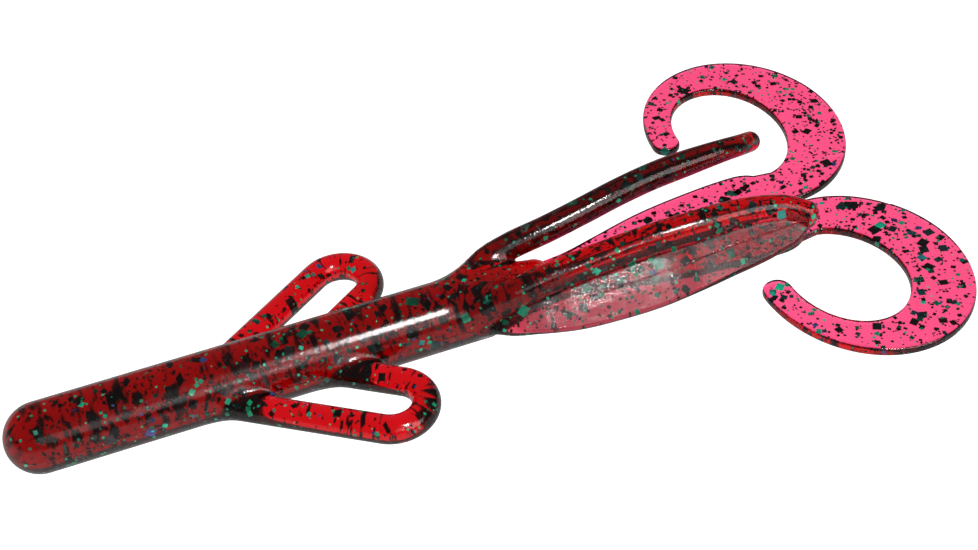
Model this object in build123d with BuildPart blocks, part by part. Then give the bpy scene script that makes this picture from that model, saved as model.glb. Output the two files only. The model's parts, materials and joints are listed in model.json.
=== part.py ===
"""Soft plastic fishing bait: a round trunk with two side loops, two winged arms and two curly tails.

The bait is one soft moulding. It is cut here into the regions that bend against each other.
X runs from the nose to the tails, +Z is up, +Y is the bait's right side, and the trunk lies on
z = 0 with x = 0 at mid length. Every paired piece is drawn on the right and mirrored to the left.
"""
from build123d import *
from math import cos, radians, sin
import os

# ---------- driving dimensions, millimetres and degrees ----------
length = 152.4             # nose to the back of the tails
trunk_d = 11.4             # round trunk
rest_flat = 0.12           # how far the soft trunk flattens where it lies
seam = 0.15                # gap left between two regions that bend against each other

nose_len = 12.0            # nose region, from the tip
front_bend = 25.2          # nose tip to the bend behind the front trunk
rear_bend = 70.2           # nose tip to the bend ahead of the rear trunk
trunk_len = 78.2           # nose tip to the end of the round trunk
front_swing = 30.0         # how far the front trunk bends to each side
rear_swing = 20.0          # how far the rear trunk bends to each side

fork_len = 13.5            # taper from the round trunk down to the tail roots
fork_w = 8.6               # fork width at its tail end
fork_h = 3.6               # fork height at its tail end

loop_d = 4.6               # round section of a loop
loop_span = 10.3           # between the centre lines of a loop's two legs
loop_sweep = 36.0          # a loop's legs lean this far out from the trunk, towards the tails
loop_from_nose = 58.0      # nose tip to the centre of the loop's bend
loop_reach = 6.6           # hinge line to the centre of the bend, sideways
loop_clear = 0.4           # space between the trunk's surface and a leg's ball
loop_setback = 1.5         # end of the fixed stub to the centre of the leg's ball
stub_end = 0.7             # stubs reach in to this share of the trunk's radius
loop_drop = 0.8            # loops lie this far under the trunk's axis

arm_from_nose = 80.7       # nose tip to the root of an arm
arm_len = 49.8             # root to tip of an arm's rib, along the trunk
arm_spread = 4.3           # how far the rib's tip stands outside its root
arm_rise = 3.7             # how far the rib's tip stands above its root
arm_arch = 2.3             # height of the rib's arch over its chord
arm_bend = 9.2             # root to the bend of an arm, along its rib
arm_swing = 25.0           # how far an arm swings up
rib_d = 4.4                # round rib along the top of an arm
rib_out = 0.7              # rib centre outside the trunk's surface at the root
rib_round = 44.0           # place of the root round the trunk, up from the side
web_w = 8.2                # web's greatest width, measured down from the rib's chord
web_t = 1.8                # web thickness
web_gap = 0.5              # slit in the web at the arm's bend
web_slope = 45.0           # web leans down and outwards

tail_t = 1.6               # thickness of the flat tails
tail_up = 1.2              # middle plane of the tails over the trunk's axis
tail_gap = 1.0             # between the two tails
root_w = 3.6               # tail width at its root
stem_w = 9.8               # widest place of the stem
curl_rx = 17.2             # half length of the curl's outer oval
curl_ry = 20.2             # half width of the curl's outer oval
eye_rx = 9.6               # half length of the open oval inside the curl
eye_ry = 12.4              # half width of the open oval inside the curl
eye_shift = 2.8            # the open oval sits this far nearer the nose
hinge_curl = 0.0           # place round the curl where the turn ends
hinge_tip = 100.0          # place round the curl where the tip begins
tip_end = 180.0            # place round the curl where the tip is rounded off

# ---------- places worked out from the dimensions ----------
trunk_r = trunk_d / 2
axis_z = trunk_r - rest_flat
nose_x = -length / 2
front_x = nose_x + front_bend
rear_x = nose_x + rear_bend
shoulder_x = nose_x + trunk_len
fork_x = shoulder_x + fork_len

loop_r = loop_d / 2
loop_z = axis_z - loop_drop
hinge_y = trunk_r + loop_r + loop_clear
bend_centre = Vector(nose_x + loop_from_nose, hinge_y + loop_reach, loop_z)
leg_dir = Vector(cos(radians(loop_sweep)), sin(radians(loop_sweep)), 0)
across = Vector(-leg_dir.Y, leg_dir.X, 0)

rib_r = rib_d / 2
root_r = trunk_r + rib_out
rib_root = Vector(
    nose_x + arm_from_nose,
    root_r * cos(radians(rib_round)),
    axis_z + root_r * sin(radians(rib_round)),
)
rib_tip = rib_root + Vector(arm_len, arm_spread, arm_rise)
rib_mid = (rib_root + rib_tip) / 2 + Vector(0, 0, arm_arch)

tail_z = axis_z + tail_up
stem_x = fork_x + seam + root_w / 2
stem_y = tail_gap / 2 + root_w / 2
curl_centre = Vector(length / 2 - curl_rx, tail_gap / 2 + curl_ry)
eye_centre = Vector(curl_centre.X - eye_shift, curl_centre.Y)
knuckle_r = tail_t / 2     # a curl region starts in a half round on its hinge line

os.makedirs("parts", exist_ok=True)


def section(x, z=axis_z):
    """Cross plane of the trunk at x."""
    return Plane(origin=(x, 0, z), x_dir=(0, 1, 0), z_dir=(1, 0, 0))


def round_ended(start, way, run, radius):
    """A round bar from start along way, flat at its far end, with a half ball round start."""
    lengthwise = Plane(origin=start, x_dir=way, z_dir=way.cross(Vector(0, 0, 1)))
    with BuildPart() as bar:
        with BuildSketch(lengthwise):
            with BuildLine():
                crown = CenterArc((0, 0), radius, 90, 90)
                Polyline(crown @ 1, (run, 0), (run, radius), crown @ 0)
            make_face()
        revolve(axis=Axis(start, way))
    return bar.part


def rested(part):
    """The part without the thin slice that the ground presses flat."""
    return split(part, bisect_by=Plane.XY, keep=Keep.TOP)


def write(part, name):
    part.label = name
    export_step(part, f"parts/{name}.step")


def write_pair(part, name):
    """The piece drawn on the right, and its mirror image on the left."""
    write(part, f"{name}_right")
    with BuildPart() as left:
        mirror(part, about=Plane.XZ)
    write(left.part, f"{name}_left")


def cupped(start, way, rim, run, radius):
    """A round bar along way, hollowed at its near end for a ball round start.

    It starts at a rim this far from the ball's middle, and ends at run.
    """
    lengthwise = Plane(origin=start, x_dir=way, z_dir=way.cross(Vector(0, 0, 1)))
    cup = radius + seam
    with BuildPart() as bar:
        with BuildSketch(lengthwise):
            with BuildLine():
                lip = (rim, (cup**2 - rim**2) ** 0.5)
                hollow = RadiusArc(lip, (cup, 0), cup)
                Polyline(hollow @ 1, (run, 0), (run, radius), (rim, radius), lip)
            make_face()
        revolve(axis=Axis(start, way))
    return bar.part


# ---------- trunk ----------
forward = Vector(1, 0, 0)
nose_centre = Vector(nose_x + trunk_r, 0, axis_z)
nose = rested(round_ended(nose_centre, forward, nose_len - trunk_r, trunk_r))
write(nose, "nose")

# The front trunk ends in a ball centred on the bend, so it turns without meeting the next region.
front_pivot = Vector(front_x, 0, axis_z)
rear_pivot = Vector(rear_x, 0, axis_z)
trunk_front = rested(round_ended(front_pivot, -forward, front_bend - nose_len, trunk_r))
write(trunk_front, "trunk_front")

# The middle trunk stands back from both bends, is hollowed for their balls,
# and carries the four short stubs that the loops swing on.
front_rim = trunk_r * sin(radians(front_swing)) + seam
rear_rim = trunk_r * sin(radians(rear_swing)) + seam
middle_half = (rear_x - front_x) / 2


def leg_hinge(side):
    """Where the hinge line crosses a leg: side +1 is the front leg, -1 the rear leg."""
    start = bend_centre + across * (side * loop_span / 2)
    return start - leg_dir * ((start.Y - hinge_y) / leg_dir.Y)


with BuildPart() as trunk_middle:
    add(cupped(front_pivot, forward, front_rim, middle_half, trunk_r))
    add(cupped(rear_pivot, -forward, rear_rim, middle_half, trunk_r))
    for side in (1, -1):
        ball = leg_hinge(side)
        stub_len = (ball.Y - stub_end * trunk_r) / leg_dir.Y
        stub = cupped(ball, -leg_dir, loop_setback, stub_len, loop_r)
        add(stub)
        add(mirror(stub, about=Plane.XZ, mode=Mode.PRIVATE))
write(rested(trunk_middle.part), "trunk_middle")

trunk_rear = rested(round_ended(rear_pivot, forward, trunk_len - rear_bend, trunk_r))
write(trunk_rear, "trunk_rear")


# The fork tapers from the round trunk to a flat end.
with BuildPart() as trunk_fork:
    with BuildSketch(section(shoulder_x)):
        Circle(trunk_r)
    with BuildSketch(section(fork_x, tail_z)):
        Ellipse(fork_w / 2, fork_h / 2)
    loft()
    split(bisect_by=Plane.XY, keep=Keep.TOP)
write(trunk_fork.part, "trunk_fork")

# ---------- arms ----------
rib_line = Edge.make_three_point_arc(rib_root, rib_mid, rib_tip)
chord = rib_tip - rib_root


def on_rib(distance):
    """Point on the rib's line, this far along it from the root."""
    return rib_line.position_at(distance, position_mode=PositionMode.LENGTH)


def rib_bar(start, end):
    """The rib's round bar between two distances along its line, with a ball at each end."""
    points = [on_rib(start), on_rib((start + end) / 2), on_rib(end)]
    with BuildPart() as bar:
        with BuildLine() as arch:
            ThreePointArc(*points)
        with BuildSketch(Plane(origin=points[0], z_dir=arch.line % 0)):
            Circle(rib_r)
        sweep()
        with Locations(points[0], points[2]):
            Sphere(rib_r)
    return bar.part


arm_hinge = on_rib(arm_bend)
arm_rib = rib_bar(arm_bend, rib_line.length)
write_pair(arm_rib, "arm_rib")

# The shoulder carries the rib from the trunk to the bend, and stands back from the rib's ball.
arm_setback = rib_r * sin(radians(arm_swing)) + seam
with BuildPart() as arm_shoulder:
    add(rib_bar(0, arm_bend))
    split(bisect_by=Plane(origin=arm_hinge - Vector(arm_setback, 0, 0), z_dir=(-1, 0, 0)))
    add([trunk_rear, trunk_fork.part], mode=Mode.SUBTRACT)
    with Locations(arm_hinge):
        Sphere(rib_r + seam, mode=Mode.SUBTRACT)
write_pair(arm_shoulder.part, "arm_shoulder")

# The web is a flat blade under the rib. Its plane holds the rib's chord and leans by web_slope.
down_out = Vector(0, cos(radians(web_slope)), -sin(radians(web_slope)))
web_normal = chord.cross(down_out).normalized()
web_plane = Plane(origin=rib_root - web_normal * (web_t / 2), x_dir=chord, z_dir=web_normal)


def web(way, *bars):
    """The web ahead of the arm's bend (way -1) or behind it (way 1), with the bars cut out of it."""
    slit = Plane(origin=arm_hinge + Vector(way * web_gap / 2, 0, 0), z_dir=(way, 0, 0))
    reach = chord.length
    with BuildPart() as blade:
        with BuildSketch(web_plane):
            with BuildLine():
                edge = Spline(
                    (0, 0.78 * web_w),
                    (0.17 * reach, 0.95 * web_w),
                    (0.42 * reach, web_w),
                    (0.68 * reach, 0.84 * web_w),
                    (0.88 * reach, 0.6 * web_w),
                    (reach + rib_r / 2, 0),
                )
                Polyline(edge @ 1, (0, 0), edge @ 0)
            make_face()
        extrude(amount=web_t)
        split(bisect_by=slit)
        add(bars, mode=Mode.SUBTRACT)
    return blade.part


write_pair(web(1, arm_rib), "arm_web")
with BuildPart() as arm_web_root:
    add(web(-1, arm_shoulder.part, trunk_rear, trunk_fork.part))
    with Locations(arm_hinge):
        Sphere(rib_r + seam, mode=Mode.SUBTRACT)
write_pair(arm_web_root.part, "arm_web_root")



# ---------- loops ----------
def loop_leg(side):
    """One straight leg, from its ball on the hinge line to the bend."""
    ball = leg_hinge(side)
    end = bend_centre + across * (side * loop_span / 2)
    return round_ended(ball, leg_dir, (end - ball).length, loop_r)


write_pair(loop_leg(1), "loop_front_leg")
write_pair(loop_leg(-1), "loop_rear_leg")

with BuildPart() as loop_bend:
    with BuildSketch(Plane(origin=bend_centre, x_dir=across, z_dir=leg_dir)):
        with Locations((loop_span / 2, 0)):
            Circle(loop_r)
    revolve(axis=Axis(bend_centre, (0, 0, -1)), revolution_arc=180)
write_pair(loop_bend.part, "loop_bend")

# ---------- tails ----------
flat = Plane.XY.offset(tail_z - tail_t / 2)
with BuildPart() as tail_stem:
    with BuildSketch(flat):
        with BuildLine():
            inside_y = tail_gap / 2
            run = eye_centre.X - stem_x
            edge = Spline(
                (stem_x, inside_y + root_w),
                (stem_x + 0.2 * run, inside_y + 0.6 * stem_w),
                (stem_x + 0.6 * run, inside_y + 0.94 * stem_w),
                (stem_x + 0.84 * run, inside_y + stem_w),
                (eye_centre.X, eye_centre.Y - eye_ry),
            )
            Polyline(edge @ 1, (eye_centre.X, inside_y), (stem_x, inside_y), edge @ 0)
        make_face()
        with Locations((stem_x, stem_y)):
            Circle(root_w / 2)
    extrude(amount=tail_t)
write_pair(tail_stem.part, "tail_stem")


def out_from_eye(angle):
    """Unit vector from the middle of the eye, at a place round the curl."""
    return Vector(cos(radians(angle)), sin(radians(angle)), 0)


def on_oval(angle, centre, rx, ry):
    """Distance from the middle of the eye to an oval, along the line at an angle."""
    way = out_from_eye(angle)
    gap = eye_centre - centre
    a = (way.X / rx) ** 2 + (way.Y / ry) ** 2
    b = 2 * (gap.X * way.X / rx**2 + gap.Y * way.Y / ry**2)
    c = (gap.X / rx) ** 2 + (gap.Y / ry) ** 2 - 1
    return (-b + (b * b - 4 * a * c) ** 0.5) / (2 * a)


def band(angle):
    """Inner and outer distance of the curl's band from the middle of the eye."""
    inner = on_oval(angle, eye_centre, eye_rx, eye_ry)
    return inner, on_oval(angle, curl_centre, curl_rx, curl_ry)


def curl_piece(start, end, knuckle=True, rounded=False):
    """The curl's band from one angle to another round the eye.

    knuckle puts a half round on the start's hinge line. The end is rounded off,
    or else it stands back to clear the half round of the next piece.
    """
    far = 2 * (curl_rx + curl_ry)
    steps = [start + (end - start) * part / 3 for part in range(4)]
    fan = [(0, 0)] + [(out_from_eye(a).X * far, out_from_eye(a).Y * far) for a in steps]
    with BuildPart() as piece:
        with BuildSketch(flat):
            with Locations((curl_centre.X, curl_centre.Y)):
                Ellipse(curl_rx, curl_ry)
            with Locations((eye_centre.X, eye_centre.Y)):
                Ellipse(eye_rx, eye_ry, mode=Mode.SUBTRACT)
                Polygon(*fan, align=None, mode=Mode.INTERSECT)
            if rounded:
                inner, outer = band(end)
                middle = eye_centre + out_from_eye(end) * ((inner + outer) / 2)
                with Locations((middle.X, middle.Y)):
                    Circle((outer - inner) / 2)
        extrude(amount=tail_t)
        if not rounded:
            line = Plane(
                origin=(eye_centre.X, eye_centre.Y, tail_z),
                x_dir=out_from_eye(end),
                z_dir=(0, 0, 1),
            )
            with Locations(line):
                Box(far, 2 * (knuckle_r + seam), 2 * tail_t, mode=Mode.SUBTRACT)
        if knuckle:
            inner, outer = band(start)
            root = eye_centre + out_from_eye(start) * (inner + seam)
            origin = Vector(root.X, root.Y, tail_z)
            with BuildSketch(Plane(origin=origin, z_dir=out_from_eye(start))):
                Circle(knuckle_r)
            extrude(amount=outer - inner - 2 * seam)
    return piece.part


write_pair(curl_piece(-90, hinge_curl, knuckle=False), "tail_turn")
write_pair(curl_piece(hinge_curl, hinge_tip), "tail_curl")
write_pair(curl_piece(hinge_tip, tip_end, rounded=True), "tail_tip")
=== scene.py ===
"""Looks of a soft plastic fishing bait: one clear red moulding full of glitter, in metres.

The bait is one smooth solid, given by a signed distance in millimetres. It is meshed once and then
cut, on plane faces that nobody sees, into the pieces that bend against each other. Glitter flakes
are thin plates inside it.
"""
import json
import math

import bmesh
import bpy
import numpy as np
from mathutils import Matrix, Vector


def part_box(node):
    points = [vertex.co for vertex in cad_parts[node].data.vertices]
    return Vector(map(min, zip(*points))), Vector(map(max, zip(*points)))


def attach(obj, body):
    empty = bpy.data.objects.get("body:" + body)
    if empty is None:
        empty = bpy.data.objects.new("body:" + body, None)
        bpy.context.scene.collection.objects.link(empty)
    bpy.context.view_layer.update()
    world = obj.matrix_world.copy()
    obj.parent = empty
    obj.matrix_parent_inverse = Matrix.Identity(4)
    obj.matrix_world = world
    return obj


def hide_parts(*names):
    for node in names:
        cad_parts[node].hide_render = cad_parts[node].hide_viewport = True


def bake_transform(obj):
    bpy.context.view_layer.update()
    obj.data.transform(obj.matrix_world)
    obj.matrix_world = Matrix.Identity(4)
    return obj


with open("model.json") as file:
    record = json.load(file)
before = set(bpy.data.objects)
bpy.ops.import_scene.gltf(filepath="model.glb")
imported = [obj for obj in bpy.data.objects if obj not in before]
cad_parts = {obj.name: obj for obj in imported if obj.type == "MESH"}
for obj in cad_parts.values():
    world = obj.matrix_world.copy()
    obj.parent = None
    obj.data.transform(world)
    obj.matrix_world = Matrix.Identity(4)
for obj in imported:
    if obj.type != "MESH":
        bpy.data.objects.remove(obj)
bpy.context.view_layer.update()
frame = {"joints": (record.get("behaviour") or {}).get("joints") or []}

bl_info = {
    "name": "Soft curly-tail bait",
    "version": (1, 0, 0),
    "blender": (4, 5, 0),
    "location": "3D View > Sidebar > Bait",
    "description": "Glittered soft plastic bait with side loops, winged arms and curly tails",
    "category": "Object",
}

MM = 0.001
SIDES = {"right": 1, "left": -1}
JOINT = {j["name"]: np.array(j["pos_m"]) / MM for j in frame["joints"]}


def cad_box(node):
    """Lowest and highest corners of a CAD node, in millimetres."""
    low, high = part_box(node)
    return np.array(low) / MM, np.array(high) / MM


TRUNK_LOW, TRUNK_HIGH = cad_box("trunk_rear")
TRUNK_R = (TRUNK_HIGH[1] - TRUNK_LOW[1]) / 2
AXIS_Z = JOINT["front_bend"][2]
NOSE_X = cad_box("nose")[0][0]
SHOULDER_X = TRUNK_HIGH[0]
TAIL_END_X = cad_box("tail_turn_right")[1][0]

# Lines of the right half in millimetres, as rows of x, y and height over the trunk's axis.
RIB_LINE = np.array([
    (-2.5, 2.2, 1.4), (1.0, 3.5, 2.9), (4.4, 4.7, 4.4), (8.6, 5.15, 5.55), (15.4, 5.3, 6.8),
    (22.0, 5.8, 7.95), (28.8, 6.5, 9.1), (35.6, 7.2, 9.8), (42.3, 7.6, 10.1), (49.2, 8.3, 9.9),
    (52.9, 9.2, 9.2), (55.0, 10.4, 8.3),
])
WEB_EDGE = np.array([
    (0.6, 5.2, -0.4), (1.8, 6.4, -0.1), (3.2, 7.6, 0.0), (8.0, 9.6, 0.1), (14.5, 11.1, -0.2),
    (21.0, 12.1, 0.2), (28.0, 13.0, 1.1), (34.0, 13.4, 2.3), (40.0, 13.25, 3.25),
    (48.5, 12.7, 4.5), (52.5, 12.1, 5.6), (54.6, 11.2, 7.0),
])
# Shape of the fork behind the shoulder: x, half width, top and bottom.
FORK = np.array([
    (SHOULDER_X, TRUNK_R, TRUNK_R, -TRUNK_R), (6.0, 5.2, 5.45, -4.2), (10.4, 4.35, 4.75, -2.5),
    (12.8, 4.1, 4.0, -1.5), (14.0, 4.0, 2.9, -0.9), (14.8, 3.9, 1.7, -0.4),
])
FORK_END_X = 14.3
# Outer edge of a tail's stem, from the notch at the curl back to the root.
STEM_EDGE = np.array([
    (55.2, 9.0), (54.0, 9.75), (52.0, 10.25), (50.0, 10.3), (42.0, 9.8), (32.0, 8.4), (24.0, 6.3),
    (17.0, 4.3), (12.0, 3.7),
])
TAIL_INSIDE_Y = 0.5
TAIL_EDGE = 0.55  # how far a tail's edges are rounded
OUTER_OVAL = (59.0, 20.7, 17.2, 20.2)
EYE_OVAL = (56.2, 20.7, 9.6, 12.4)
LOOP_CENTRE = (-18.2, 15.0, -1.0)
LOOP_SWEEP = math.radians(36)
LOOP_R = 5.15


# ---------- sizes and colours that a user would change ----------
class BaitShape(bpy.types.PropertyGroup):
    """Sizes of the moulding."""

    loop_diameter: bpy.props.FloatProperty(
        name="Loop diameter", description="Round section of the side loops",
        default=4.6 * MM, unit="LENGTH")
    rib_diameter: bpy.props.FloatProperty(
        name="Rib diameter", description="Round rib along the top of an arm",
        default=4.6 * MM, unit="LENGTH")
    web_thickness: bpy.props.FloatProperty(
        name="Web thickness", description="Thin blade under an arm's rib",
        default=2.4 * MM, unit="LENGTH")
    tail_thickness: bpy.props.FloatProperty(
        name="Tail thickness", description="Thickness of the flat tails",
        default=1.6 * MM, unit="LENGTH")
    fillet: bpy.props.FloatProperty(
        name="Fillet", description="How widely the parts of the moulding run into each other",
        default=1.8 * MM, unit="LENGTH")
    mesh_step: bpy.props.FloatProperty(
        name="Mesh step", description="Size of the mesh's faces",
        default=0.27 * MM, unit="LENGTH")


class BaitGlitter(bpy.types.PropertyGroup):
    """Sizes and amounts of the flakes."""

    coarse_size: bpy.props.FloatProperty(
        name="Coarse flake", description="Edge of the largest square flakes",
        default=1.25 * MM, unit="LENGTH")
    middle_size: bpy.props.FloatProperty(
        name="Middle flake", description="Edge of the middling flakes",
        default=0.62 * MM, unit="LENGTH")
    fine_size: bpy.props.FloatProperty(
        name="Fine flake", description="Edge of the finest flakes",
        default=0.3 * MM, unit="LENGTH")
    coarse_count: bpy.props.IntProperty(
        name="Coarse count", description="Coarse flakes tried in the bait's box", default=7000)
    middle_count: bpy.props.IntProperty(
        name="Middle count", description="Middling flakes tried in the bait's box", default=14000)
    fine_count: bpy.props.IntProperty(
        name="Fine count", description="Fine flakes tried in the bait's box", default=38000)
    wall_count: bpy.props.IntProperty(
        name="Wall count", description="Coarse flakes tried close under the surface",
        default=50000)
    green_share: bpy.props.FloatProperty(
        name="Green share", description="Share of the flakes that are green foil",
        default=0.5, min=0, max=1, subtype="FACTOR")


class BaitColours(bpy.types.PropertyGroup):
    """Colours and strengths of the finishes, as sRGB hex values."""

    trunk_tint: bpy.props.StringProperty(
        name="Trunk tint", description="Colour that the trunk lets through", default="F3007C")
    trunk_depth: bpy.props.FloatProperty(
        name="Trunk depth", description="How fast the trunk darkens, per metre", default=1500.0)
    arm_tint: bpy.props.StringProperty(
        name="Arm tint", description="Colour that the arms let through", default="F3007C")
    arm_depth: bpy.props.FloatProperty(
        name="Arm depth", description="How fast the arms darken, per metre", default=1500.0)
    loop_tint: bpy.props.StringProperty(
        name="Loop tint", description="Colour that the loops let through", default="F3007C")
    loop_depth: bpy.props.FloatProperty(
        name="Loop depth", description="How fast the loops darken, per metre", default=1500.0)
    tail_tint: bpy.props.StringProperty(
        name="Tail tint", description="Colour that the tails let through", default="F800A8")
    tail_depth: bpy.props.FloatProperty(
        name="Tail depth", description="How fast the tails darken, per metre", default=1400.0)
    green_foil: bpy.props.StringProperty(
        name="Green foil", description="Colour of the green flakes", default="08B47C")
    black_film: bpy.props.StringProperty(
        name="Black film", description="Colour of the black flakes", default="0B1110")
    floor: bpy.props.StringProperty(
        name="Floor", description="Colour of the pale floor", default="FFFFFF")


# ---------- the moulding as a signed distance, in millimetres ----------
def eased(x, table, column):
    """Smooth curve through a table's points: a cubic between neighbours, with mean slopes."""
    xs, ys = table[:, 0], table[:, column]
    slope = np.gradient(ys, xs)
    i = np.clip(np.searchsorted(xs, x) - 1, 0, len(xs) - 2)
    gap = xs[i + 1] - xs[i]
    t = np.clip((x - xs[i]) / gap, 0, 1)
    t2, t3 = t * t, t * t * t
    return ((2 * t3 - 3 * t2 + 1) * ys[i] + (t3 - 2 * t2 + t) * gap * slope[i]
            + (3 * t2 - 2 * t3) * ys[i + 1] + (t3 - t2) * gap * slope[i + 1])


def smooth_step(t):
    t = np.clip(t, 0, 1)
    return t * t * (3 - 2 * t)


def joined(a, b, k):
    """Union of two distances with a fillet about k wide: the lesser, less a quarter k at a tie."""
    k = np.maximum(k, 1e-4)
    h = np.maximum(k - np.abs(a - b), 0) / k
    return np.minimum(a, b) - h * h * k / 4


def segment_distance(p, a, b):
    """Distance from points to the straight pieces from a to b, row by row."""
    along = b - a
    t = np.clip(((p - a) * along).sum(-1) / np.maximum((along * along).sum(-1), 1e-9), 0, 1)
    return np.linalg.norm(p - a - t[..., None] * along, axis=-1)


def trunk_distance(q):
    """Round bar with a dome for a nose, easing into the fork's ellipse behind the shoulder."""
    x, y, z = q.T
    top, bottom = eased(x, FORK, 2), eased(x, FORK, 3)
    wide, high = eased(x, FORK, 1), (top - bottom) / 2
    z = z - (top + bottom) / 2
    near = np.hypot(y / wide, z / high)
    bar = near * (near - 1) / np.maximum(np.hypot(y / wide**2, z / high**2), 1e-6)
    ahead = np.maximum(NOSE_X + TRUNK_R - x, 0)
    bar = np.where(ahead > 0, np.sqrt(y * y + z * z + ahead * ahead) - TRUNK_R, bar)
    return -joined(-bar, -(x - FORK_END_X), np.where(x > 11, 0.9, 1e-4))


def loop_distance(q, radius):
    """Two straight legs and the half circle that joins them, as one round tube."""
    x, y, z = (q - LOOP_CENTRE).T
    u = x * math.cos(LOOP_SWEEP) + y * math.sin(LOOP_SWEEP)
    v = y * math.cos(LOOP_SWEEP) - x * math.sin(LOOP_SWEEP)
    flat = np.where(u < 0, np.abs(v), np.hypot(u, v)) - LOOP_R
    inward = np.maximum(2.0 - q[:, 1], 0)
    return np.sqrt(flat**2 + z**2 + inward**2) - radius


RIB_STEPS = 34
_rib_x = np.linspace(0, 1, RIB_STEPS) * (RIB_LINE[-1, 0] - RIB_LINE[0, 0]) + RIB_LINE[0, 0]
RIB_PATH = np.stack([_rib_x, eased(_rib_x, RIB_LINE, 1), eased(_rib_x, RIB_LINE, 2)], 1)


def rib_distance(q, radius):
    """Round tube round the rib's line, by its nearest short straight piece, thinner at the tip."""
    best = np.full(len(q), 99.0)
    for a, b in zip(RIB_PATH[:-1], RIB_PATH[1:]):
        near = np.abs(q[:, 0] - (a[0] + b[0]) / 2) < 9
        best[near] = np.minimum(best[near], segment_distance(q[near], a, b))
    return best - radius * (1 - 0.26 * smooth_step((q[:, 0] - 38) / 18))


def web_distance(q, thickness):
    """Sheet ruled across from the rib's line to the web's edge, at each x, thinner at its edge."""
    x = q[:, 0]
    within = np.clip(x, WEB_EDGE[0, 0], WEB_EDGE[-1, 0])
    rib = np.stack([eased(within, RIB_LINE, 1), eased(within, RIB_LINE, 2)], 1)
    edge = np.stack([eased(within, WEB_EDGE, 1), eased(within, WEB_EDGE, 2)], 1)
    across = np.linalg.norm(q[:, 1:] - rib, axis=1)
    half = thickness / 2 * (0.72 + 0.28 * smooth_step(1 - across / 8))
    return np.hypot(segment_distance(q[:, 1:], rib, edge), x - within) - half


def tail_outline():
    """Closed outline of one tail: inner edge, round the outer oval, the round tip, the eye, the stem."""
    cx, cy, rx, ry = OUTER_OVAL
    turn = np.radians(np.linspace(-90, 178, 90))
    outer = np.stack([cx + rx * np.cos(turn), cy + ry * np.sin(turn)], 1)
    ex, ey, ax, ay = EYE_OVAL
    turn = np.radians(np.linspace(179, -78, 70))
    eye = np.stack([ex + ax * np.cos(turn), ey + ay * np.sin(turn)], 1)
    middle = (outer[-1] + eye[0]) / 2
    across = (outer[-1] - eye[0]) / 2
    turn = np.radians(np.linspace(0, 180, 12)[1:-1, None])
    tip = middle + across * np.cos(turn) + np.array((-across[1], across[0])) * np.sin(turn)
    stem_x = np.linspace(STEM_EDGE[0, 0], STEM_EDGE[-1, 0], 40)
    rising = STEM_EDGE[::-1]
    stem = np.stack([stem_x, eased(stem_x, rising, 1)], 1)
    start = np.array([(STEM_EDGE[-1, 0], TAIL_INSIDE_Y)])
    return np.concatenate([start, outer, tip, eye, stem])


OUTLINE_STEP = 0.1
OUTLINE_LOW = np.array([10.0, -2.0])
OUTLINE_SHAPE = (690, 460)


def outline_distances(outline):
    """Signed distance to the outline on a fine flat grid: least distance to a side, inside negative."""
    gx, gy = np.meshgrid(*(low + OUTLINE_STEP * np.arange(n)
                           for low, n in zip(OUTLINE_LOW, OUTLINE_SHAPE)), indexing="ij")
    best = np.full(OUTLINE_SHAPE, 1e9)
    inside = np.zeros(OUTLINE_SHAPE, bool)
    for (ax, ay), (bx, by) in zip(outline, np.roll(outline, -1, 0)):
        dx, dy = bx - ax, by - ay
        t = np.clip(((gx - ax) * dx + (gy - ay) * dy) / max(dx * dx + dy * dy, 1e-12), 0, 1)
        np.minimum(best, (gx - ax - t * dx) ** 2 + (gy - ay - t * dy) ** 2, out=best)
        if ay != by:
            crosses = (gy < ay) != (gy < by)
            inside ^= crosses & (gx < ax + (gy - ay) * dx / dy)
    return np.where(inside, -1, 1) * np.sqrt(best)


TAIL_GRID = outline_distances(tail_outline())


def tail_middle(x, y):
    """Height of a tail's middle plane: it climbs gently to the curl and on round to the tip."""
    rise = np.interp(x, (12, 20, 40, 60), (0.55, 0.7, 1.1, 1.35))
    angle = np.degrees(np.arctan2(y - EYE_OVAL[1], x - EYE_OVAL[0]))
    angle = np.where((angle < -100) & (y > 14), angle + 360, angle)
    return rise + 2.6 * smooth_step((angle + 80) / 275) * (y > 8)


def tail_distance(q, thickness):
    """Flat sheet of the outline's shape with rounded edges, thicker towards its root."""
    x, y, z = q.T
    cell = (np.stack([x, y], 1) - OUTLINE_LOW) / OUTLINE_STEP
    cell = np.clip(cell, 0, np.array(OUTLINE_SHAPE) - 1.001)
    i = cell.astype(int)
    u, v = (cell - i).T
    a, b = i.T
    flat = ((TAIL_GRID[a, b] * (1 - u) + TAIL_GRID[a + 1, b] * u) * (1 - v)
            + (TAIL_GRID[a, b + 1] * (1 - u) + TAIL_GRID[a + 1, b + 1] * u) * v)
    half = thickness / 2 + 0.5 * smooth_step((26 - x) / 14)
    out = flat + TAIL_EDGE
    up = np.abs(z - tail_middle(x, y)) - half + TAIL_EDGE
    return (np.minimum(np.maximum(out, up), 0)
            + np.hypot(np.maximum(out, 0), np.maximum(up, 0)) - TAIL_EDGE)


def arm_distance(q, shape):
    rib = rib_distance(q, shape.rib_diameter / MM / 2)
    return joined(rib, web_distance(q, shape.web_thickness / MM), 1.1)


def body_distance(q, shape):
    """Trunk, fork, loops and tails, without the arms."""
    k = shape.fillet / MM
    d = joined(trunk_distance(q), loop_distance(q, shape.loop_diameter / MM / 2), k)
    fade = smooth_step((14.7 - q[:, 0]) / 3)
    return joined(d, tail_distance(q, shape.tail_thickness / MM), k * fade)


def folded(p):
    """Points moved to the right half, with height over the trunk's axis."""
    return np.stack([p[:, 0], np.abs(p[:, 1]), p[:, 2] - AXIS_Z], 1)


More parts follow.
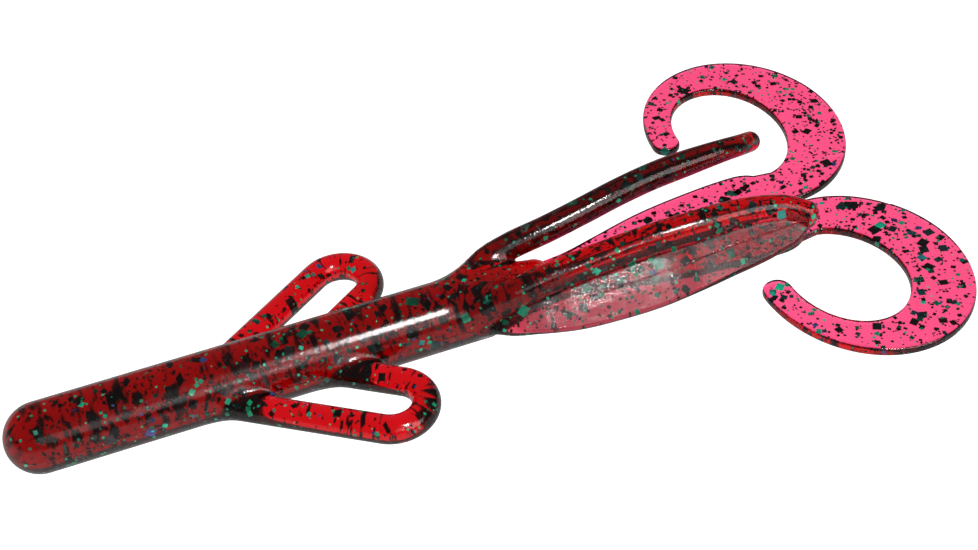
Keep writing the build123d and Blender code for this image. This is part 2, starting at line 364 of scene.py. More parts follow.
def bait_distance(p, shape):
    """Signed distance to the whole moulding. The arms' fillet to the trunk fades out behind it."""
    q = folded(p)
    fade = smooth_step((10.3 - q[:, 0]) / 3.4)
    d = joined(body_distance(q, shape), arm_distance(q, shape), shape.fillet / MM * 1.2 * fade)
    return -joined(-d, p[:, 2], 0.25)


def gradient(p, shape, step=0.02):
    """Slope of the distance, by differences along the four corners of a tetrahedron."""
    corners = np.array([(1, -1, -1), (-1, -1, 1), (-1, 1, -1), (1, 1, 1)], float)
    total = sum(c * bait_distance(p + step * c, shape)[:, None] for c in corners)
    return total / (4 * step)


# ---------- meshing ----------
GRID_LOW = np.array([NOSE_X - 1.5, -43.5, -1.5])
GRID_HIGH = np.array([TAIL_END_X + 1.5, 43.5, 20.5])
COARSE = 4


def distance_grid(shape, step):
    """Distances on a regular grid. Fine points are worked out only near the surface."""
    counts = np.ceil((GRID_HIGH - GRID_LOW) / (step * COARSE)).astype(int)
    wide = [low + step * COARSE * (np.arange(n) + 0.5) for low, n in zip(GRID_LOW, counts)]
    p = np.stack(np.meshgrid(*wide, indexing="ij"), -1).reshape(-1, 3)
    coarse = bait_distance(p, shape)
    values = np.repeat(coarse[:, None], COARSE**3, 1).astype(np.float32)
    near = np.nonzero(np.abs(coarse) < step * COARSE * 1.9)[0]
    offsets = (np.arange(COARSE) + 0.5 - COARSE / 2) * step
    local = np.stack(np.meshgrid(offsets, offsets, offsets, indexing="ij"), -1).reshape(-1, 3)
    for part in np.array_split(near, max(1, len(near) // 4000)):
        fine = (p[part][:, None] + local).reshape(-1, 3)
        values[part] = bait_distance(fine, shape).reshape(len(part), -1)
    values = values.reshape(*counts, COARSE, COARSE, COARSE)
    values = values.transpose(0, 3, 1, 4, 2, 5).reshape(*(counts * COARSE))
    return values, GRID_LOW + step / 2


def net_surface(values, low, step):
    """Quads round the zero level: a vertex in each crossed cell, at the mean of its edge crossings.

    Each grid edge that changes sign gives one quad, joining the vertices of its four cells.
    """
    inside = values < 0
    shape = np.array(values.shape) - 1
    corner = [(a, b, c) for a in (0, 1) for b in (0, 1) for c in (0, 1)]

    def view(grid, o):
        return grid[o[0]:o[0] + shape[0], o[1]:o[1] + shape[1], o[2]:o[2] + shape[2]]

    count = sum(view(inside, o).astype(np.int8) for o in corner)
    cells = np.nonzero((count > 0) & (count < 8))
    base = np.stack(cells, 1)
    total = np.zeros((len(base), 3))
    hits = np.zeros(len(base))
    for axis in range(3):
        for a in (o for o in corner if o[axis] == 0):
            b = tuple(1 if i == axis else o for i, o in enumerate(a))
            va, vb = view(values, a)[cells], view(values, b)[cells]
            crossed = (va < 0) != (vb < 0)
            t = va / np.where(crossed, va - vb, 1)
            point = base + np.array(a) + t[:, None] * (np.array(b) - np.array(a))
            total += np.where(crossed[:, None], point, 0)
            hits += crossed
    vertices = low + step * total / hits[:, None]
    number = np.full(shape, -1, np.int32)
    number[cells] = np.arange(len(base))
    quads = []
    for axis in range(3):
        u, v = (axis + 1) % 3, (axis + 2) % 3
        first = np.moveaxis(inside, (axis, u, v), (0, 1, 2))
        change = first[1:, 1:-1, 1:-1] != first[:-1, 1:-1, 1:-1]
        n = np.moveaxis(number, (axis, u, v), (0, 1, 2))
        i, j, k = np.nonzero(change)
        quad = np.stack([n[i, j, k], n[i, j + 1, k], n[i, j + 1, k + 1], n[i, j, k + 1]], 1)
        outward = first[i, j + 1, k + 1]
        quads.append(np.where(outward[:, None], quad, quad[:, ::-1]))
    return vertices, np.concatenate(quads)


def meshed_bait(shape):
    """The whole moulding as quads whose vertices are moved onto the exact surface."""
    step = shape.mesh_step / MM
    vertices, quads = net_surface(*distance_grid(shape, step), step)
    for _ in range(4):
        d = bait_distance(vertices, shape)
        g = gradient(vertices, shape)
        move = d[:, None] * g / np.maximum((g * g).sum(1), 0.25)[:, None]
        longest = np.linalg.norm(move, axis=1, keepdims=True)
        vertices = vertices - move * np.minimum(1, 0.25 / np.maximum(longest, 1e-9))
    return vertices, quads


# ---------- pieces ----------
def tip_plane():
    """Middle of the hinge line before a tail's tip, and the way along the band there."""
    hinge = JOINT["tip_wave_right"].copy()
    out = hinge[:2] - np.array(EYE_OVAL[:2])
    out = out / np.linalg.norm(out)
    return hinge, np.array([-out[1], out[0], 0.0])


FRONT_X, REAR_X = JOINT["front_bend"][0], JOINT["rear_bend"][0]
LOOP_Y = abs(JOINT["loop_flap_right"][1])
ARM_X = JOINT["arm_swing_right"][0]
STEM_X = JOINT["tail_splay_right"][0]
CURL_Y = abs(JOINT["curl_wave_right"][1])
TIP_POINT, TIP_WAY = tip_plane()
FRONT_CUT = FRONT_X + 5.0
MIDDLE_CUT = REAR_X + 5.0
LOOP_CUT = LOOP_Y - 2.0
LOOP_ZONE_X = -8.0
ARM_CUT = ARM_X - 3.0
TAIL_CUT = STEM_X - 2.6
CURL_CUT = CURL_Y - 3.7
TIP_HALF = 3.0


def mirrored(vector, side):
    return np.array([vector[0], side * vector[1], vector[2]], float)


def side_pieces(name, side):
    """Pieces of one half: name, kind, cutting planes as points with the way out, bend, slot, nodes."""
    out_y = np.array([0.0, side, 0.0])
    way = mirrored(TIP_WAY, side)
    tip = mirrored(TIP_POINT, side)

    def at(x=0.0, y=0.0):
        return np.array([x, side * y, AXIS_Z])

    x_way = np.array([1.0, 0, 0])
    loop_x, turn_x = LOOP_CENTRE[0], OUTER_OVAL[0] + OUTER_OVAL[2]
    return [
        (f"loop_{name}", "any", [(at(0, LOOP_CUT), -out_y), (at(LOOP_ZONE_X), x_way)],
         ("middle", f"loop_{name}", at(loop_x, LOOP_CUT), at(loop_x, LOOP_CUT + 4.0)),
         "loop_plastisol",
         [f"loop_front_leg_{name}", f"loop_bend_{name}", f"loop_rear_leg_{name}"]),
        (f"arm_{name}", "arm", [(at(ARM_CUT), -x_way), (at(), -out_y)],
         ("rear", f"arm_{name}", at(ARM_CUT), at(ARM_X + 3.0)),
         "arm_plastisol", [f"arm_rib_{name}", f"arm_web_{name}"]),
        (f"tail_{name}", "body",
         [(at(TAIL_CUT), -x_way), (at(), -out_y), (at(0, CURL_CUT), out_y)],
         ("rear", f"tail_{name}", at(TAIL_CUT), at(STEM_X + 3.0)),
         "tail_plastisol", [f"tail_stem_{name}", f"tail_turn_{name}"]),
        (f"curl_{name}", "body",
         [(at(0, CURL_CUT), -out_y), (tip - TIP_HALF * way, way)],
         (f"tail_{name}", f"curl_{name}", at(turn_x, CURL_CUT), at(turn_x, CURL_Y + 3.7)),
         "tail_plastisol", [f"tail_curl_{name}"]),
        (f"tip_{name}", "body",
         [(at(0, CURL_CUT), -out_y), (tip - TIP_HALF * way, -way), (at(TAIL_CUT), -x_way)],
         (f"curl_{name}", f"tip_{name}", tip - TIP_HALF * way, tip + TIP_HALF * way),
         "tail_plastisol", [f"tail_tip_{name}"]),
    ]


def trunk_pieces():
    """Pieces of the trunk, given the same way as the pieces of one half."""
    x_way, y_way = np.array([1.0, 0, 0]), np.array([0, 1.0, 0])

    def at(x=0.0, y=0.0):
        return np.array([x, y, AXIS_Z])

    roots = [f"{part}_{side}" for side in SIDES for part in ("arm_shoulder", "arm_web_root")]
    return [
        ("trunk_front", "any", [(at(FRONT_CUT), x_way)],
         ("front", "middle", at(FRONT_X - 5.0), at(FRONT_CUT)),
         "trunk_plastisol", ["nose", "trunk_front"]),
        ("trunk_middle", "any",
         [(at(FRONT_CUT), -x_way), (at(MIDDLE_CUT), x_way), (at(0, LOOP_CUT), y_way),
          (at(0, -LOOP_CUT), -y_way)],
         ("middle", "rear", at(REAR_X - 5.0), at(MIDDLE_CUT)),
         "trunk_plastisol", ["trunk_middle"]),
        ("trunk_rear", "rear",
         [(at(MIDDLE_CUT), -x_way), (at(TAIL_CUT), x_way)],
         ("rear",), "trunk_plastisol", ["trunk_rear", "trunk_fork", *roots]),
    ]


def in_piece(p, planes, margin=0.0):
    """Which points lie behind all the planes, or no more than margin in front of them."""
    kept = np.ones(len(p), bool)
    for point, way in planes:
        kept &= (p - point) @ way < margin
    return kept


def of_kind(kind, p, is_arm, margin=0.0):
    """Which points belong to a kind of piece: arms part from the rest behind the arm's cut."""
    if kind == "arm":
        return is_arm
    if kind == "body":
        return ~is_arm
    if kind == "rear":
        return ~is_arm | (p[:, 0] < ARM_CUT + margin)
    return np.ones(len(p), bool)


def cut_off(bm, faces, point, way):
    """Cuts some faces of a mesh on a plane and takes away what is in front, leaving a hole."""
    parts = list({v for f in faces for v in f.verts}) + list({e for f in faces for e in f.edges})
    bmesh.ops.bisect_plane(bm, geom=parts + list(faces), dist=1e-6, plane_co=point,
                           plane_no=way, clear_outer=True)


def solid_piece(name, vertices, quads, centres, is_arm, kind, planes, shape):
    """One closed piece of the moulding, cut out on its planes, with each hole filled flat."""
    step = shape.mesh_step / MM
    kept = in_piece(centres, planes, 2 * step) & of_kind(kind, centres, is_arm, 2 * step)
    used, faces = np.unique(quads[kept], return_inverse=True)
    mesh = bpy.data.meshes.new(name)
    mesh.from_pydata(vertices[used], [], faces.reshape(-1, 4))
    bm = bmesh.new()
    bm.from_mesh(mesh)
    if kind == "rear":
        arm_faces = [f for f, arm in zip(bm.faces, is_arm[kept]) if arm]
        cut_off(bm, arm_faces, (ARM_CUT, 0, 0), (1, 0, 0))
    for point, way in planes:
        cut_off(bm, bm.faces, point, way)
    loose = [v for v in bm.verts if not v.link_faces]
    bmesh.ops.delete(bm, geom=loose, context="VERTS")
    rim = [e for e in bm.edges if e.is_boundary]
    caps = bmesh.ops.holes_fill(bm, edges=rim, sides=0)["faces"]
    bmesh.ops.triangulate(bm, faces=caps)
    bm.to_mesh(mesh)
    bm.free()
    return mesh


def surface_marks(p, shape):
    """Distance in millimetres from the mould's parting line, and 0 to 1 for the web's painted shade.

    The line runs level along the trunk and midway along the web.
    """
    q = folded(p)
    x = np.clip(q[:, 0], WEB_EDGE[0, 0], WEB_EDGE[-1, 0])
    rib = np.stack([eased(x, RIB_LINE, 1), eased(x, RIB_LINE, 2)], 1)
    edge = np.stack([eased(x, WEB_EDGE, 1), eased(x, WEB_EDGE, 2)], 1)
    width = np.linalg.norm(edge - rib, axis=1)
    across = ((q[:, 1:] - rib) * (edge - rib)).sum(1) / np.maximum(width, 0.1)
    on_web = web_distance(q, shape.web_thickness / MM) < 0.15
    plain = np.where((q[:, 0] < 3) & (q[:, 1] < TRUNK_R + 0.3), q[:, 2], 9.0)
    line = np.where(on_web & (q[:, 0] > 1), across - 0.56 * width, plain)
    # The second mark is the mask of painted shade on the web's face.
    return line, on_web * smooth_step((across - 2.0) / 1.2) * smooth_step((q[:, 0] - 2) / 6)


CUT_GAP = 0.01  # how far each piece draws back from its cuts
ON_CUT = 1e-3  # a point this near a cutting plane lies on it


def finish_piece(mesh, planes, shape):
    """Marks and parts the cut faces, turns millimetres to metres, and sets the exact shading."""
    flat = np.zeros(len(mesh.polygons) * 3)
    mesh.polygons.foreach_get("normal", flat)
    face_normal = flat.reshape(-1, 3)
    flat = np.zeros(len(mesh.polygons) * 3)
    mesh.polygons.foreach_get("center", flat)
    centre = flat.reshape(-1, 3)
    flat = np.zeros(len(mesh.vertices) * 3)
    mesh.vertices.foreach_get("co", flat)
    p = flat.reshape(-1, 3)
    cut = np.zeros(len(centre), bool)
    shift = np.zeros_like(p)
    for point, way in planes:
        cut |= (np.abs((centre - point) @ way) < ON_CUT) & (np.abs(face_normal @ way) > 0.999)
        shift -= (np.abs((p - point) @ way) < ON_CUT)[:, None] * way * CUT_GAP
    normal = gradient(p, shape)
    normal /= np.maximum(np.linalg.norm(normal, axis=1, keepdims=True), 1e-9)
    # The web mark masks the painted shade on the webs' base colour.
    for name, values in zip(("parting_line", "web"), surface_marks(p, shape)):
        marks = mesh.attributes.new(name, "FLOAT", "POINT")
        marks.data.foreach_set("value", values.astype(np.float32))
    mesh.vertices.foreach_set("co", ((p + shift) * MM).ravel())
    corner = np.zeros(len(mesh.loops), np.int32)
    mesh.loops.foreach_get("vertex_index", corner)
    sizes = np.zeros(len(mesh.polygons), np.int32)
    mesh.polygons.foreach_get("loop_total", sizes)
    of_face = np.repeat(np.arange(len(sizes)), sizes)
    shading = np.where(cut[of_face, None], face_normal[of_face], normal[corner])
    mark = mesh.attributes.new("cut_face", "FLOAT", "FACE")
    mark.data.foreach_set("value", cut.astype(np.float32))
    mesh.polygons.foreach_set("use_smooth", np.ones(len(sizes), bool))
    mesh.update()
    mesh.normals_split_custom_set(shading)


def place(obj, bend):
    """Rides on one body; a piece given more than one body is only baked in place."""
    if len(bend) == 1:
        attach(obj, bend[0])
    else:
        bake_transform(obj)


def all_pieces():
    pieces = trunk_pieces()
    for name, side in SIDES.items():
        pieces += side_pieces(name, side)
    return pieces


# ---------- materials ----------
def linear(hex_colour):
    """sRGB hex value as linear red, green, blue and alpha."""
    parts = [int(hex_colour[i:i + 2], 16) / 255 for i in (0, 2, 4)]
    curved = [c / 12.92 if c <= 0.04045 else ((c + 0.055) / 1.055) ** 2.4 for c in parts]
    return (*curved, 1.0)


def node(tree, kind, settings=(), **inputs):
    """Adds a node, sets its properties, and sets or links its inputs by name."""
    made = tree.nodes.new(kind)
    for key, value in dict(settings).items():
        setattr(made, key, value)
    for key, value in inputs.items():
        socket = made.inputs[int(key[1:])] if key[0] == "_" else made.inputs[key.replace("_", " ")]
        if isinstance(value, bpy.types.NodeSocket):
            tree.links.new(value, socket)
        else:
            socket.default_value = value
    return made


def new_material(name):
    material = bpy.data.materials.new(name)
    material.use_nodes = True
    material.node_tree.nodes.clear()
    return material, material.node_tree


CLOUDINESS = {"trunk": 0.16, "arm": 0.11, "loop": 0.14, "tail": 0.12}
PLASTISOL_IOR = 1.5
NO_BEND_IOR = 1.0005  # on a hidden cut, where light has to go straight on
OILY_SKIN = 0.5
# Grey that the webs' base colour is mixed towards: painted shade for the shadow the webs hang over.
WEB_PAINTED_SHADE = "A8A0A0"
PEEL_SCALE, PIT_SCALE = 900.0, 4200.0  # waves about 1.1 mm and 0.25 mm apart
PIT_SHARE = 0.55
SEAM_WIDTH = 0.18  # millimetres to each side of the parting line
SEAM_HEIGHT = 3.0  # over the height of the peel
RELIEF = 0.04 * MM


def plastisol(name, tint_colour, depth, haze):
    """Clear tinted PVC plastisol, poured into a polished mould and oily to the touch.

    It is glossy with a soft orange peel and a little cloudy, so that flakes deep inside blur, and
    its tint deepens with thickness, from pink in the tails to dark red in the trunk. On the webs the
    base colour is greyed with painted shade, which stands for the shadow they hang over. The mark on
    the hidden cut faces stops them bending light.
    """
    material, tree = new_material(name)
    mark = node(tree, "ShaderNodeAttribute", {"attribute_name": "cut_face"})
    place_at = node(tree, "ShaderNodeTexCoord")
    peel = node(tree, "ShaderNodeTexNoise", Vector=place_at.outputs["Object"],
                Scale=PEEL_SCALE, Detail=2.0, Roughness=0.5)
    pits = node(tree, "ShaderNodeTexNoise", Vector=place_at.outputs["Object"],
                Scale=PIT_SCALE, Detail=1.0, Roughness=0.6)
    height = node(tree, "ShaderNodeMath", {"operation": "MULTIPLY_ADD"},
                  _0=pits.outputs["Fac"], _1=PIT_SHARE, _2=peel.outputs["Fac"])
    line = node(tree, "ShaderNodeAttribute", {"attribute_name": "parting_line"})
    away = node(tree, "ShaderNodeMath", {"operation": "ABSOLUTE"}, _0=line.outputs["Fac"])
    ridge = node(tree, "ShaderNodeMapRange", {"interpolation_type": "SMOOTHSTEP"},
                 Value=away.outputs[0], _1=0.0, _2=SEAM_WIDTH, _3=SEAM_HEIGHT,
                 _4=0.0)
    height = node(tree, "ShaderNodeMath", {"operation": "ADD"},
                  _0=height.outputs[0], _1=ridge.outputs[0])
    bump = node(tree, "ShaderNodeBump", Height=height.outputs[0], Strength=0.5,
                Distance=RELIEF)
    ior = node(tree, "ShaderNodeMapRange", Value=mark.outputs["Fac"], _3=PLASTISOL_IOR,
               _4=NO_BEND_IOR)
    cloud = node(tree, "ShaderNodeMapRange", Value=mark.outputs["Fac"], _3=haze, _4=0.0)
    skin = node(tree, "ShaderNodeMapRange", Value=mark.outputs["Fac"], _3=OILY_SKIN, _4=0.0)
    web = node(tree, "ShaderNodeAttribute", {"attribute_name": "web"})
    # Painted shade: the webs' base colour is greyed, for the shadow they hang over.
    painted_web_shade = node(tree, "ShaderNodeMix", {"data_type": "RGBA"}, Factor=web.outputs["Fac"])
    painted_web_shade.inputs[6].default_value = (1, 1, 1, 1)
    painted_web_shade.inputs[7].default_value = linear(WEB_PAINTED_SHADE)
    shader = node(tree, "ShaderNodeBsdfPrincipled", Base_Color=painted_web_shade.outputs[2],
                  Transmission_Weight=1.0, Normal=bump.outputs["Normal"],
                  IOR=ior.outputs["Result"], Roughness=cloud.outputs["Result"],
                  Coat_Weight=skin.outputs["Result"], Coat_Roughness=0.04, Coat_IOR=PLASTISOL_IOR,
                  Coat_Normal=bump.outputs["Normal"])
    tint = node(tree, "ShaderNodeVolumeAbsorption", Color=linear(tint_colour), Density=depth)
    node(tree, "ShaderNodeOutputMaterial", Surface=shader.outputs[0], Volume=tint.outputs[0])
    return material


def green_foil(colours):
    """Vacuum-coated polyester foil, dyed green and cut to squares: it flashes green or goes dark.
    The flashes are partly painted light: an emission, stronger with tone, stands for light the foil
    catches from all round.
    """
    material, tree = new_material("green_foil_flakes")
    tone = node(tree, "ShaderNodeAttribute", {"attribute_name": "tone"})
    ramp = node(tree, "ShaderNodeValToRGB", Fac=tone.outputs["Fac"])
    stops = ((0.0, "0A6E50"), (0.5, colours.green_foil), (0.92, "10B890"), (0.95, "1E4A78"),
             (1.0, "2C3A70"))
    elements = ramp.color_ramp.elements
    elements[0].position, elements[0].color = stops[0][0], linear(stops[0][1])
    elements[1].position, elements[1].color = stops[-1][0], linear(stops[-1][1])
    for position, colour in stops[1:-1]:
        elements.new(position).color = linear(colour)
    # Painted light: the foil glows by itself, more at higher tone, for light it would catch from all
    # round.
    glow = node(tree, "ShaderNodeMapRange", Value=tone.outputs["Fac"], _1=0.1, _2=0.9, _3=0.02,
                _4=0.85)
    shader = node(tree, "ShaderNodeBsdfPrincipled", Base_Color=ramp.outputs["Color"],
                  Metallic=0.5, Roughness=0.3, Emission_Color=ramp.outputs["Color"],
                  Emission_Strength=glow.outputs["Result"])
    node(tree, "ShaderNodeOutputMaterial", Surface=shader.outputs[0])
    return material


BLACK_FILM_GREENER = "16302A"


def black_film(colours):
    """Black polyester film, cut to squares: glossy, and nearly black at any angle."""
    material, tree = new_material("black_film_flakes")
    tone = node(tree, "ShaderNodeAttribute", {"attribute_name": "tone"})
    shade = node(tree, "ShaderNodeMix", {"data_type": "RGBA"}, Factor=tone.outputs["Fac"])
    shade.inputs[6].default_value = linear(colours.black_film)
    shade.inputs[7].default_value = linear(BLACK_FILM_GREENER)
    shader = node(tree, "ShaderNodeBsdfPrincipled", Base_Color=shade.outputs[2],
                  Metallic=0.0, Roughness=0.3)
    node(tree, "ShaderNodeOutputMaterial", Surface=shader.outputs[0])
    return material


# ---------- glitter ----------
FLAKE_THICKNESS = 0.04
SEED = 20
WALL_DEPTH = 0.3  # flakes of the near-wall sets lie this close under the surface
ANY_DEPTH = 99.0


def flake_set(rng, count, size, spread, shape, deep=ANY_DEPTH):
    """Square plates tried at random places in the bait's box, kept where all corners are inside.

    Each faces some way between the nearest wall's and a random one, and varies in size. In the thin
    tails and webs, and where deep keeps them near the wall, they lie flatter.
    """
    near_wall = deep < ANY_DEPTH
    skin = 0.05 if near_wall else 0.12
    p = rng.uniform(GRID_LOW, GRID_HIGH, (count, 3))
    edge = size * (1 + spread * rng.uniform(-1, 1, count))
    wander = rng.normal(size=(count, 3))
    spin = rng.uniform(0, math.pi, count)
    long = rng.uniform(0.8, 1.25, count)
    pick = rng.uniform(size=(count, 2))
    d = bait_distance(p, shape)
    inside = (d < -skin) & (d > -deep)
    p, edge, wander, spin, long, pick = (a[inside] for a in (p, edge, wander, spin, long, pick))
    wall = gradient(p, shape, 0.1)
    q = folded(p)
    thin = (web_distance(q, shape.web_thickness / MM) < 0.2) | (q[:, 0] > 20)
    loose = np.where(thin, 0.13, 0.16 if near_wall else 0.7)[:, None]
    n = wall / np.maximum(np.linalg.norm(wall, axis=1, keepdims=True), 1e-6) + wander * loose
    n /= np.linalg.norm(n, axis=1, keepdims=True)
    helper = np.where(np.abs(n[:, 2:]) < 0.9, (0.0, 0, 1), (1.0, 0, 0))
    u = np.cross(helper, n)
    u /= np.linalg.norm(u, axis=1, keepdims=True)
    v = np.cross(n, u)
    c, s = np.cos(spin)[:, None], np.sin(spin)[:, None]
    u, v = (c * u + s * v) * long[:, None], c * v - s * u
    corners = [(-1, -1), (1, -1), (1, 1), (-1, 1)]
    ring = np.stack([p + (a * u + b * v) * edge[:, None] / 2 for a, b in corners], 1)
    fits = (bait_distance(ring.reshape(-1, 3), shape).reshape(-1, 4) < -0.03).all(1)
    return p[fits], ring[fits], n[fits], pick[fits]


def plates(ring, n):
    """Thin closed plates, eight corners and six quads each."""
    rise = n[:, None] * FLAKE_THICKNESS / 2
    points = np.concatenate([ring - rise, ring + rise], 1)
    sides = np.array([(3, 2, 1, 0), (4, 5, 6, 7), (0, 1, 5, 4), (1, 2, 6, 5), (2, 3, 7, 6),
                      (3, 0, 4, 7)])
    faces = (np.arange(len(ring))[:, None, None] * 8 + sides).reshape(-1, 4)
    return points.reshape(-1, 3), faces


# ---------- operators ----------
class OBJECT_OT_bait_moulding(bpy.types.Operator):
    """Makes the clear moulding and cuts it into the pieces that bend"""

    bl_idname = "object.bait_moulding"
    bl_label = "Moulding"

    def execute(self, context):
        shape, colours = context.scene.bait_shape, context.scene.bait_colours
        vertices, quads = meshed_bait(shape)
        centres = vertices[quads].mean(1)
        q = folded(centres)
        is_arm = (q[:, 0] > 0) & (arm_distance(q, shape) < body_distance(q, shape))
        finishes = {}
        for name, kind, planes, bend, slot, nodes in all_pieces():
            mesh = solid_piece(name, vertices, quads, centres, is_arm, kind, planes, shape)
            extra = [(np.array([ARM_CUT, 0, 0]), np.array([1.0, 0, 0]))] if kind == "rear" else []
            finish_piece(mesh, planes + extra, shape)
            if slot not in finishes:
                part = slot.split("_")[0]
                finishes[slot] = plastisol(slot, getattr(colours, f"{part}_tint"),
                                           getattr(colours, f"{part}_depth"), CLOUDINESS[part])
            mesh.materials.append(finishes[slot])
            obj = bpy.data.objects.new(f"{name}_plastic", mesh)
            context.scene.collection.objects.link(obj)
            place(obj, bend)
            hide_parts(*nodes)
        return {"FINISHED"}


class OBJECT_OT_bait_glitter(bpy.types.Operator):
    """Scatters square green and black flakes through the moulding"""

    bl_idname = "object.bait_glitter"
    bl_label = "Glitter"

    def execute(self, context):
        shape, glitter = context.scene.bait_shape, context.scene.bait_glitter
        colours = context.scene.bait_colours
        rng = np.random.default_rng(SEED)
        sets = [flake_set(rng, glitter.coarse_count, glitter.coarse_size / MM, 0.4, shape),
                flake_set(rng, glitter.middle_count, glitter.middle_size / MM, 0.3, shape),
                flake_set(rng, glitter.fine_count, glitter.fine_size / MM, 0.35, shape),
                flake_set(rng, glitter.wall_count, glitter.coarse_size / MM, 0.4, shape, WALL_DEPTH),
                flake_set(rng, glitter.wall_count * 3, glitter.middle_size / MM, 0.4, shape, WALL_DEPTH),
                flake_set(rng, glitter.wall_count * 8, glitter.fine_size / MM, 0.4, shape, WALL_DEPTH)]
        p, ring, n, pick = (np.concatenate(column) for column in zip(*sets))
        q = folded(p)
        is_arm = (q[:, 0] > 0) & (arm_distance(q, shape) < body_distance(q, shape))
        green = pick[:, 0] < glitter.green_share
        finishes = {"green": (green_foil(colours), "green_glitter"),
                    "black": (black_film(colours), "black_glitter")}
        for name, kind, planes, bend, _, _ in all_pieces():
            here = in_piece(p, planes) & of_kind(kind, p, is_arm)
            for colour, (finish, slot) in finishes.items():
                chosen = here & (green == (colour == "green"))
                points, faces = plates(ring[chosen], n[chosen])
                mesh = bpy.data.meshes.new(f"{name}_{colour}_glitter")
                mesh.from_pydata(points * MM, [], faces)
                tone = mesh.attributes.new("tone", "FLOAT", "FACE")
                tone.data.foreach_set("value", np.repeat(pick[chosen, 1], 6).astype(np.float32))
                mesh.materials.append(finish)
                obj = bpy.data.objects.new(mesh.name, mesh)
                context.scene.collection.objects.link(obj)
                place(obj, bend)
        return {"FINISHED"}


# The camera's side, height and roll in degrees, and the spot it looks at, in millimetres.
VIEW_AZIMUTH, VIEW_ELEVATION, VIEW_ROLL = -16.081, 41.304, -5.902
VIEW_TARGET = (5.289, 6.080)
VIEW_DISTANCE = 280.0
SENSOR_WIDTH = 36
VIEW_LENS = 1689.58 * SENSOR_WIDTH / 978
FLOOR_HALF = 1.5
FLOOR_DROP = 0.3 * MM
FLOOR_GLOW = 1.38
GLOW_IN_SKIN = 0.35
ROOM_GREY, ROOM_LIGHT = (0.35, 0.36, 0.36, 1), 0.22
LIGHT_PASSES = 28  # light goes in and out of many pieces and flakes

# White tent wall that faces the camera's side of the bait, 0.5 m away, round a small window.
# Each light is a name, its place on the wall across and up, its size, in metres, and its radiance.
WALL_WAY = Vector((0.0, -0.74, 0.67))
WALL_DISTANCE = 0.5
TENT_WALL = (
    ("key_soft_box", (0.078, 0.1), (0.07, 0.14), 26.0),
    ("web_soft_box", (-0.004, -0.095), (0.009, 0.014), 90.0),
    ("tent_wall_by_nose", (-0.05, -0.1), (0.14, 0.2), 0.7),
    ("tent_wall_behind_key", (0.055, -0.1), (0.07, 0.2), 0.6),
    ("tent_wall_left_of_window", (0.124, -0.1), (0.068, 0.2), 1.9),
    ("tent_wall_over_window", (0.174, 0.02), (0.032, 0.16), 1.9),
    ("tent_wall_under_window", (0.174, -0.212), (0.032, 0.2), 1.9),
    ("tent_wall_right_of_window", (0.345, -0.1), (0.31, 0.34), 1.9),
)


def panel_light(name, spot, size, radiance):
    """A flat light on the tent wall, of a stated radiance: power is radiance times pi times area."""
    light = bpy.data.lights.new(name, "AREA")
    light.shape = "RECTANGLE"
    light.size, light.size_y = size
    light.energy = radiance * math.pi * size[0] * size[1]
    obj = bpy.data.objects.new(name, light)
    bpy.context.scene.collection.objects.link(obj)
    back = WALL_WAY.normalized()
    across = Vector((1, 0, 0))
    up = back.cross(across)
    turned = Matrix((across, up, back)).transposed().to_4x4()
    obj.matrix_world = (
        Matrix.Translation(back * WALL_DISTANCE + across * spot[0] + up * spot[1]) @ turned)


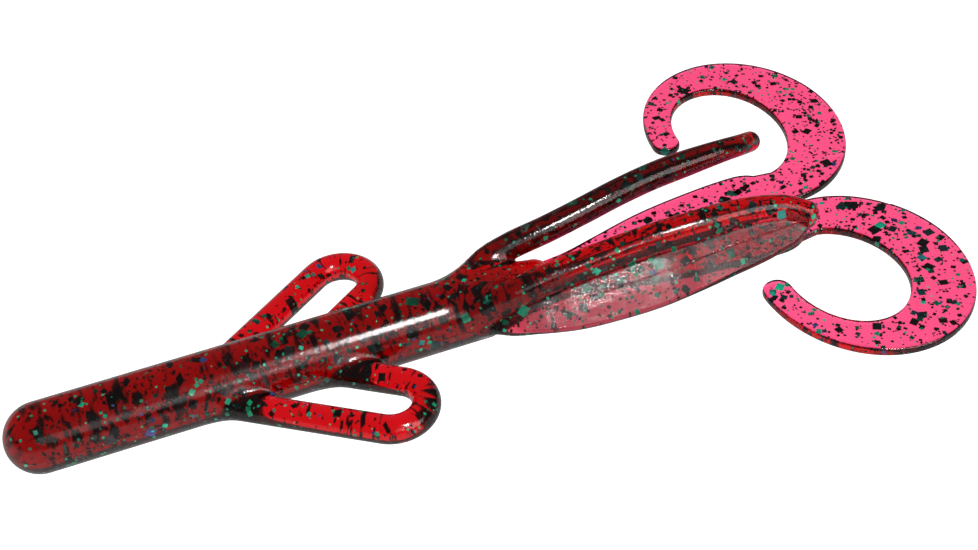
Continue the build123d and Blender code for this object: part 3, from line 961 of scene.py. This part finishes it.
class OBJECT_OT_bait_stage(bpy.types.Operator):
    """Sets the pale floor, the soft lights and the camera"""

    bl_idname = "object.bait_stage"
    bl_label = "Stage"

    def execute(self, context):
        colours = context.scene.bait_colours
        half = FLOOR_HALF
        mesh = bpy.data.meshes.new("pale_floor")
        mesh.from_pydata([(-half, -half, 0), (half, -half, 0), (half, half, 0), (-half, half, 0)],
                         [], [(0, 1, 2, 3)])
        floor = bpy.data.objects.new("pale_floor", mesh)
        context.scene.collection.objects.link(floor)
        floor.location.z = -FLOOR_DROP
        material, tree = new_material("back_lit_acrylic_table")
        # The floor is dimmer where the plastic's skin mirrors it, so the moulding's rim stays dark.
        path = node(tree, "ShaderNodeLightPath")
        dim = node(tree, "ShaderNodeMapRange", Value=path.outputs["Is Reflection Ray"],
                   _3=FLOOR_GLOW, _4=GLOW_IN_SKIN)
        glow = node(tree, "ShaderNodeEmission", Color=linear(colours.floor),
                    Strength=dim.outputs["Result"])
        node(tree, "ShaderNodeOutputMaterial", Surface=glow.outputs[0])
        mesh.materials.append(material)
        world = bpy.data.worlds.new("grey_room")
        world.use_nodes = True
        background = world.node_tree.nodes["Background"]
        background.inputs["Color"].default_value = ROOM_GREY
        background.inputs["Strength"].default_value = ROOM_LIGHT
        context.scene.world = world
        for name, spot, size, radiance in TENT_WALL:
            panel_light(name, spot, size, radiance)
        camera = bpy.data.cameras.new("camera")
        camera.sensor_width = SENSOR_WIDTH
        camera.lens = VIEW_LENS
        camera.clip_start = 0.01
        obj = bpy.data.objects.new("camera", camera)
        context.scene.collection.objects.link(obj)
        a, e, r = (math.radians(v) for v in (VIEW_AZIMUTH, VIEW_ELEVATION, VIEW_ROLL))
        back = Vector((math.sin(a) * math.cos(e), -math.cos(a) * math.cos(e), math.sin(e)))
        right = Vector((0, 0, 1)).cross(back).normalized()
        up = back.cross(right)
        turned = Matrix((math.cos(r) * right + math.sin(r) * up,
                         math.cos(r) * up - math.sin(r) * right, back)).transposed()
        spot = Vector((*VIEW_TARGET, AXIS_Z)) + back * VIEW_DISTANCE
        obj.matrix_world = Matrix.Translation(spot * MM) @ turned.to_4x4()
        context.scene.camera = obj
        context.scene.view_settings.view_transform = "Standard"
        cycles = context.scene.cycles
        cycles.max_bounces = LIGHT_PASSES
        cycles.transmission_bounces = LIGHT_PASSES
        cycles.glossy_bounces = 6
        return {"FINISHED"}


class VIEW3D_PT_bait(bpy.types.Panel):
    """Panel that lists the bait's operators"""

    bl_label = "Bait"
    bl_space_type = "VIEW_3D"
    bl_region_type = "UI"
    bl_category = "Bait"

    def draw(self, context):
        for operator in OPERATORS:
            self.layout.operator(operator.bl_idname)


OPERATORS = (OBJECT_OT_bait_stage, OBJECT_OT_bait_moulding, OBJECT_OT_bait_glitter)
GROUPS = {"bait_shape": BaitShape, "bait_glitter": BaitGlitter, "bait_colours": BaitColours}


def register():
    for cls in (*GROUPS.values(), *OPERATORS, VIEW3D_PT_bait):
        bpy.utils.register_class(cls)
    for name, group in GROUPS.items():
        setattr(bpy.types.Scene, name, bpy.props.PointerProperty(type=group))


def unregister():
    for name in GROUPS:
        delattr(bpy.types.Scene, name)
    for cls in (VIEW3D_PT_bait, *reversed(OPERATORS), *reversed(tuple(GROUPS.values()))):
        bpy.utils.unregister_class(cls)


def main():
    """Makes everything."""
    register()
    bpy.ops.object.bait_stage()
    bpy.ops.object.bait_moulding()
    bpy.ops.object.bait_glitter()


if __name__ == "__main__":
    main()
